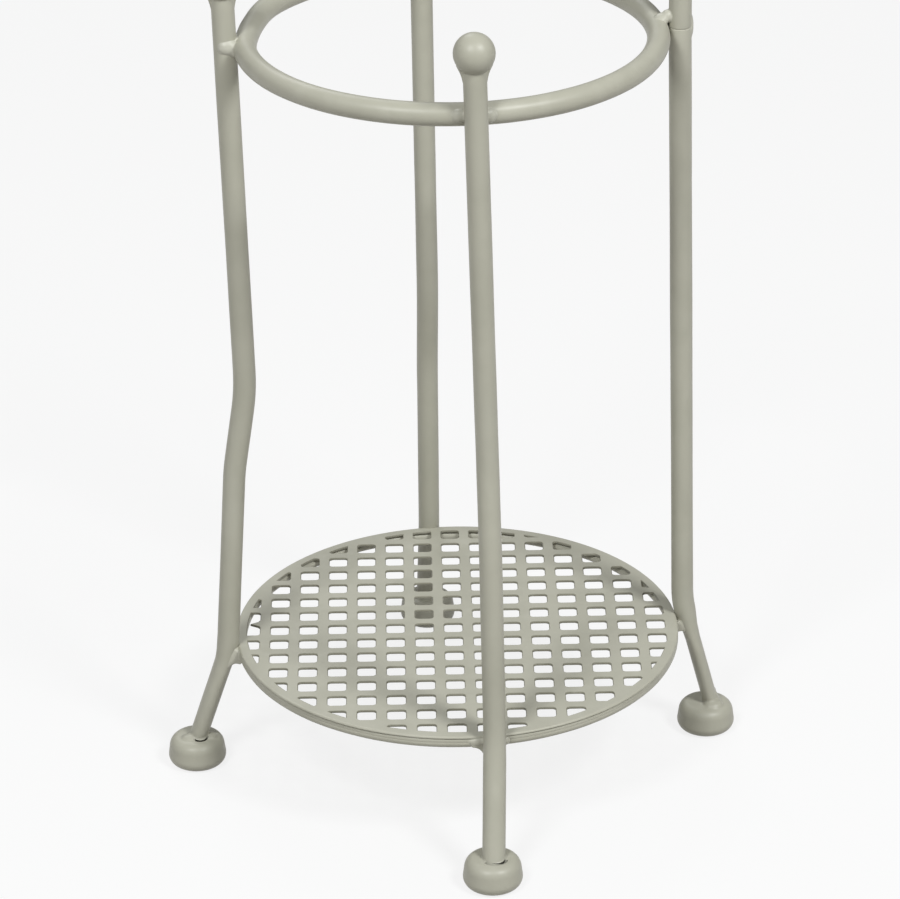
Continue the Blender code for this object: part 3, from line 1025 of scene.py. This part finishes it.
# The web outside the right leg: its corner out, down and along from the socket, its width, height, length
# along the rim, and how deep it is rooted.
FOOT_WEB_OUT, FOOT_WEB_DROP, FOOT_WEB_ALONG = 0.0024, 0.0011, 0.0024
FOOT_WEB_WIDE, FOOT_WEB_TALL, FOOT_WEB_LONG, FOOT_WEB_ROOT = 0.0047, 0.0052, 0.0050, 0.0014

# %% The foot's tools
OVAL_STEPS = 12
BUN_STEPS = 72


def oval(distance, height, wide, tall, start, end):
    """Points on part of an ellipse, as distances from the axis and heights."""
    turns = [math.radians(start + (end - start) * step / OVAL_STEPS) for step in range(OVAL_STEPS + 1)]
    return [(distance + wide * math.cos(turn), height + tall * math.sin(turn)) for turn in turns]


def foot_bun(name, place):
    """A foot: half its outline, spun round its own axis."""
    shoulder = FOOT_HEIGHT - FOOT_CROWN - SHOULDER_TALL
    outline = [(0.0, 0.0)]
    outline += oval(FOOT_RADIUS - HEEL_WIDE, HEEL_TALL, HEEL_WIDE, HEEL_TALL, -90, 0)
    outline += oval(FOOT_RADIUS - SHOULDER_INSET, shoulder, SHOULDER_WIDE, SHOULDER_TALL, 0, 90)
    outline.append((0.0, FOOT_HEIGHT))
    shape = bpy.data.meshes.new(name)
    points = [place + Vector((distance, 0.0, height)) for distance, height in outline]
    shape.from_pydata(points, [(index, index + 1) for index in range(len(points) - 1)], [])
    bun = bpy.data.objects.new(name, shape)
    bpy.context.scene.collection.objects.link(bun)
    edit(bun, "EDGE")
    bpy.ops.mesh.spin(steps=BUN_STEPS, angle=math.tau, center=place, axis=(0.0, 0.0, 1.0))
    bpy.ops.mesh.select_all(action="SELECT")
    bpy.ops.mesh.remove_doubles(threshold=MERGE)
    bpy.ops.mesh.normals_make_consistent(inside=False)
    done()
    return bun


def slit_tool(place, slit, oval_here):
    """A crescent: part of a thin, tall torus set a little to one side of the rod."""
    toward = around(slit.side, 1.0, 0.0)
    let_go()
    bpy.ops.mesh.primitive_torus_add(
        major_radius=ROD,
        minor_radius=slit.half_width,
        major_segments=64,
        minor_segments=12,
        location=place + toward * (slit.half_width + SLIT_SHIFT),
    )
    tool = bpy.context.object
    tool.scale = (*oval_here, SLIT_HEIGHT)
    settle(tool)
    edit(tool)
    edge = place + toward * slit.start
    bpy.ops.mesh.bisect(plane_co=edge, plane_no=toward, use_fill=True, clear_inner=True)
    done()
    return tool


# %% The feet
FOOT_VOXEL, FOOT_ROUNDS = 0.00030, 18

feet = {}
for name, leg in LEGS.items():
    entry = socket_place(name)
    parts = [foot_bun("bun", foot_place(leg)), cropped(rods[name], "near_leg", entry, NEAR_FOOT)]
    wide, deep = (ROD * share + LIP_WIDE for share in OVALS[name])
    parts.append(drop_of_weld(entry + DOWN * LIP_DROP, (wide, deep, LIP_TALL)))
    parts += [drop_of_weld(entry + Vector(shift), half_sizes) for shift, half_sizes in LUMPS[name]]
    if name == "right":
        out = around(leg.foot, 1.0, 0.0)
        along = around(leg.foot + 90.0, 1.0, 0.0)
        corner = entry + out * FOOT_WEB_OUT + DOWN * FOOT_WEB_DROP - along * FOOT_WEB_ALONG
        wide, toward = out * FOOT_WEB_WIDE, -DOWN * FOOT_WEB_TALL
        parts.append(web(corner, wide, toward, along * FOOT_WEB_LONG, FOOT_WEB_ROOT))
    feet[name] = fused("bun_" + name, parts, FOOT_VOXEL, FOOT_ROUNDS)
    if name in SLITS:
        crescent = slit_tool(entry, SLITS[name], OVALS[name])
        modify(feet[name], "BOOLEAN", operation="DIFFERENCE", solver="EXACT", object=crescent)
        drop(crescent)
    print(name, "foot faces:", len(feet[name].data.polygons))

# %% [markdown]
# ## The balls
#
# Each free end carries a small steel ball. It is a sphere drilled part way and pushed on, then welded round
# the back of its neck, so the ball's front runs cleanly into the rod. The weld starts as the outline of a
# hollow fillet, spun part of the way round the rod, and is then fused with the ball and the rod like the
# other welds.


# %% The collar of weld under a ball
def end_turn(corners):
    """The place of a ball at the end of a rod, and the turn that puts local Z along the rod."""
    ahead = (corners[-1] - corners[-2]).normalized()
    return corners[-1] + ahead * BALL_SEAT, ahead.to_track_quat("Z", "Y")


COLLAR_START = -14.0
COLLAR_TURN = 208.0
COLLAR_STEPS = 32
COLLAR_OUTLINE = [
    (0.0034, -0.0034),
    (0.0066, -0.0040),
    (0.0059, -0.0054),
    (0.0052, -0.0070),
    (0.0047, -0.0088),
    (0.0043, -0.0108),
    (0.0034, -0.0108),
]


def collar(place, ahead):
    """The weld under a ball: its outline, spun round the rod from one cheek over the back to the other."""
    shape = bpy.data.meshes.new("collar")
    back = (Vector((0.0, 1.0, 0.0)) - ahead * ahead.y).normalized()
    side = back.cross(ahead)
    start = math.radians(COLLAR_START)
    first = side * math.cos(start) + back * math.sin(start)
    points = [place + first * distance + ahead * height for distance, height in COLLAR_OUTLINE]
    shape.from_pydata(points, [], [tuple(range(len(points)))])
    weld = bpy.data.objects.new("collar", shape)
    bpy.context.scene.collection.objects.link(weld)
    edit(weld)
    bpy.ops.mesh.spin(steps=COLLAR_STEPS, angle=-math.radians(COLLAR_TURN), center=place, axis=ahead)
    bpy.ops.mesh.select_all(action="SELECT")
    bpy.ops.mesh.remove_doubles(threshold=MERGE)
    bpy.ops.mesh.normals_make_consistent(inside=False)
    done()
    return weld


# %% The balls and their collars
BALL_COAT = 0.0001
BALL_WAVE = 0.00018
NEAR_BALL = (0.016, 0.016, 0.016)
COLLAR_VOXEL, COLLAR_ROUNDS, COLLAR_LUMP = 0.00026, 20, 0.0001

balls = {}
collars = {}
for name in ("left", "front", "back", "arm"):
    corners = arm_corners if name == "arm" else leg_corners(name)[0]
    place, quarter = end_turn(corners)
    let_go()
    radius = BALL_RADIUS - BALL_COAT
    bpy.ops.mesh.primitive_uv_sphere_add(segments=64, ring_count=32, radius=radius, location=place)
    ball = bpy.context.object
    ball.name = "ball_" + name
    ball.rotation_euler = quarter.to_euler()
    settle(ball)
    waver(ball, BALL_WAVE)
    balls[name] = ball
    parts = [copy_of(ball, "near_ball"), cropped(rods[name], "near_rod", place, NEAR_BALL)]
    parts.append(collar(place, quarter @ Vector((0.0, 0.0, 1.0))))
    collars[name] = fused("collar_" + name, parts, COLLAR_VOXEL, COLLAR_ROUNDS, COLLAR_LUMP)
    print(name, "ball and collar faces:", len(ball.data.polygons), len(collars[name].data.polygons))

# %% [markdown]
# ## Painting and placing
#
# Every piece now gets its paint, stands for the imported solid that it refines, and rides on the stand's one
# rigid body. The punched walls of the holes and the steep walls of the cracks at the feet get the dark
# paints, which are painted shade.

# %% Paint, replace and ride
for name in LEGS:
    finish_piece(rods[name], sage_paint, "sage_paint", "leg_" + name)
    finish_piece(feet[name], sage_paint, "sage_paint", "foot_" + name)
    finish_piece(ring_welds[name], weld_paint, "bead_paint", "ring_weld_" + name)
    finish_piece(base_welds[name], weld_paint, "bead_paint", "base_weld_" + name)
for name in balls:
    finish_piece(balls[name], sage_paint, "sage_paint", "finial_" + name)
    finish_piece(collars[name], sage_paint, "bead_paint", "finial_weld_" + name)
finish_piece(rods["arm"], sage_paint, "sage_paint", "roll_arm")
finish_piece(ring, sage_paint, "sage_paint", "upper_ring")
finish_piece(hoop, sage_paint, "sage_paint", "base_hoop")
finish_piece(sheet, sage_paint, "sage_paint", "perforated_base")
finish_piece(post_weld, weld_paint, "bead_paint", "post_weld")

# %% Painted shade on the walls of the holes and in the cracks
WALL_SLOPE = 0.97
WALL_MARGIN = 0.0005
CRACK_REACH = 0.0066
CRACK_TOP = 0.0001
CRACK_SLOPE = 0.7

# Painted shade: the walls of the holes get the dark grey shade paint.
sheet.data.materials.append(hole_wall_shade)
for face in sheet.data.polygons:
    if abs(face.normal.z) < WALL_SLOPE and face.center.xy.length < HOLE_LIMIT + WALL_MARGIN:
        face.material_index = 1
# Painted shade: the steep walls of each crescent crack at a foot get the near-black shade paint.
for name, slit in SLITS.items():
    entry = socket_place(name)
    toward = around(slit.side, 1.0, 0.0)
    feet[name].data.materials.append(crack_shade)
    for face in feet[name].data.polygons:
        step = face.center - entry
        inside = step.xy.length < CRACK_REACH and step.z < -CRACK_TOP and face.normal.z < CRACK_SLOPE
        if inside and step.dot(toward) > slit.start:
            face.material_index = 1

# %% Smooth shading
for piece in (*rods.values(), *feet.values(), *ring_welds.values(), *base_welds.values(), *balls.values()):
    smooth(piece)
for piece in (*collars.values(), ring, hoop, sheet, post_weld):
    smooth(piece)
modify(sheet, "WEIGHTED_NORMAL", keep_sharp=True)
print("pieces shaded smooth")

# %% [markdown]
# ## The floor
#
# A plain pale floor. The camera sees it as white, as in a studio, but it still takes the stand's soft
# shadow, because most of what the camera sees is its own glow, and the rest is lit.

# %% The floor
FLOOR_RADIUS = 9.0
FLOOR_DROP = 0.0002
FLOOR_SEEN = (0.80, 0.80, 0.80)
FLOOR_BOUNCE = (0.40, 0.385, 0.36)
GLOW_SHARE = 0.82

let_go()
floor_place = (0.0, 0.0, -FLOOR_DROP)
bpy.ops.mesh.primitive_circle_add(vertices=96, radius=FLOOR_RADIUS, fill_type="NGON", location=floor_place)
floor = bpy.context.object
floor.name = "floor"
settle(floor)
card = Paint("floor_card")
card.set("Roughness", 0.9)
rays = card.node("ShaderNodeLightPath")
seen = Wire(card.tree, rays.outputs["Is Camera Ray"])
mirrored = Wire(card.tree, rays.outputs["Is Glossy Ray"])
through = Wire(card.tree, rays.outputs["Is Transmission Ray"])
direct = seen + mirrored + through
card.set("Base Color", card.blend(direct, FLOOR_BOUNCE, FLOOR_SEEN))
glow = card.node("ShaderNodeEmission", Color=(1.0, 1.0, 1.0, 1.0), Strength=1.0)
mixed = card.node("ShaderNodeMixShader")
card.feed(mixed.inputs[0], direct * GLOW_SHARE)
card.tree.links.new(card.shader.outputs[0], mixed.inputs[1])
card.tree.links.new(glow.outputs[0], mixed.inputs[2])
output = card.tree.nodes["Material Output"]
card.tree.links.new(mixed.outputs[0], output.inputs["Surface"])
floor.data.materials.append(card.material)
print("floor:", floor.name)

# %% The world
SKY_SEEN = 0.84
SKY_LIGHT = 0.16

world = bpy.data.worlds.new("studio")
bpy.context.scene.world = world
world.use_nodes = True
sky = world.node_tree
background = sky.nodes["Background"]
background.inputs["Color"].default_value = (1.0, 1.0, 1.0, 1.0)
paths = sky.nodes.new("ShaderNodeLightPath")
strength = Wire(sky, paths.outputs["Is Camera Ray"]) * SKY_SEEN + SKY_LIGHT
sky.links.new(strength.socket, background.inputs["Strength"])
bpy.context.scene.view_settings.view_transform = "Standard"
print("world:", world.name)
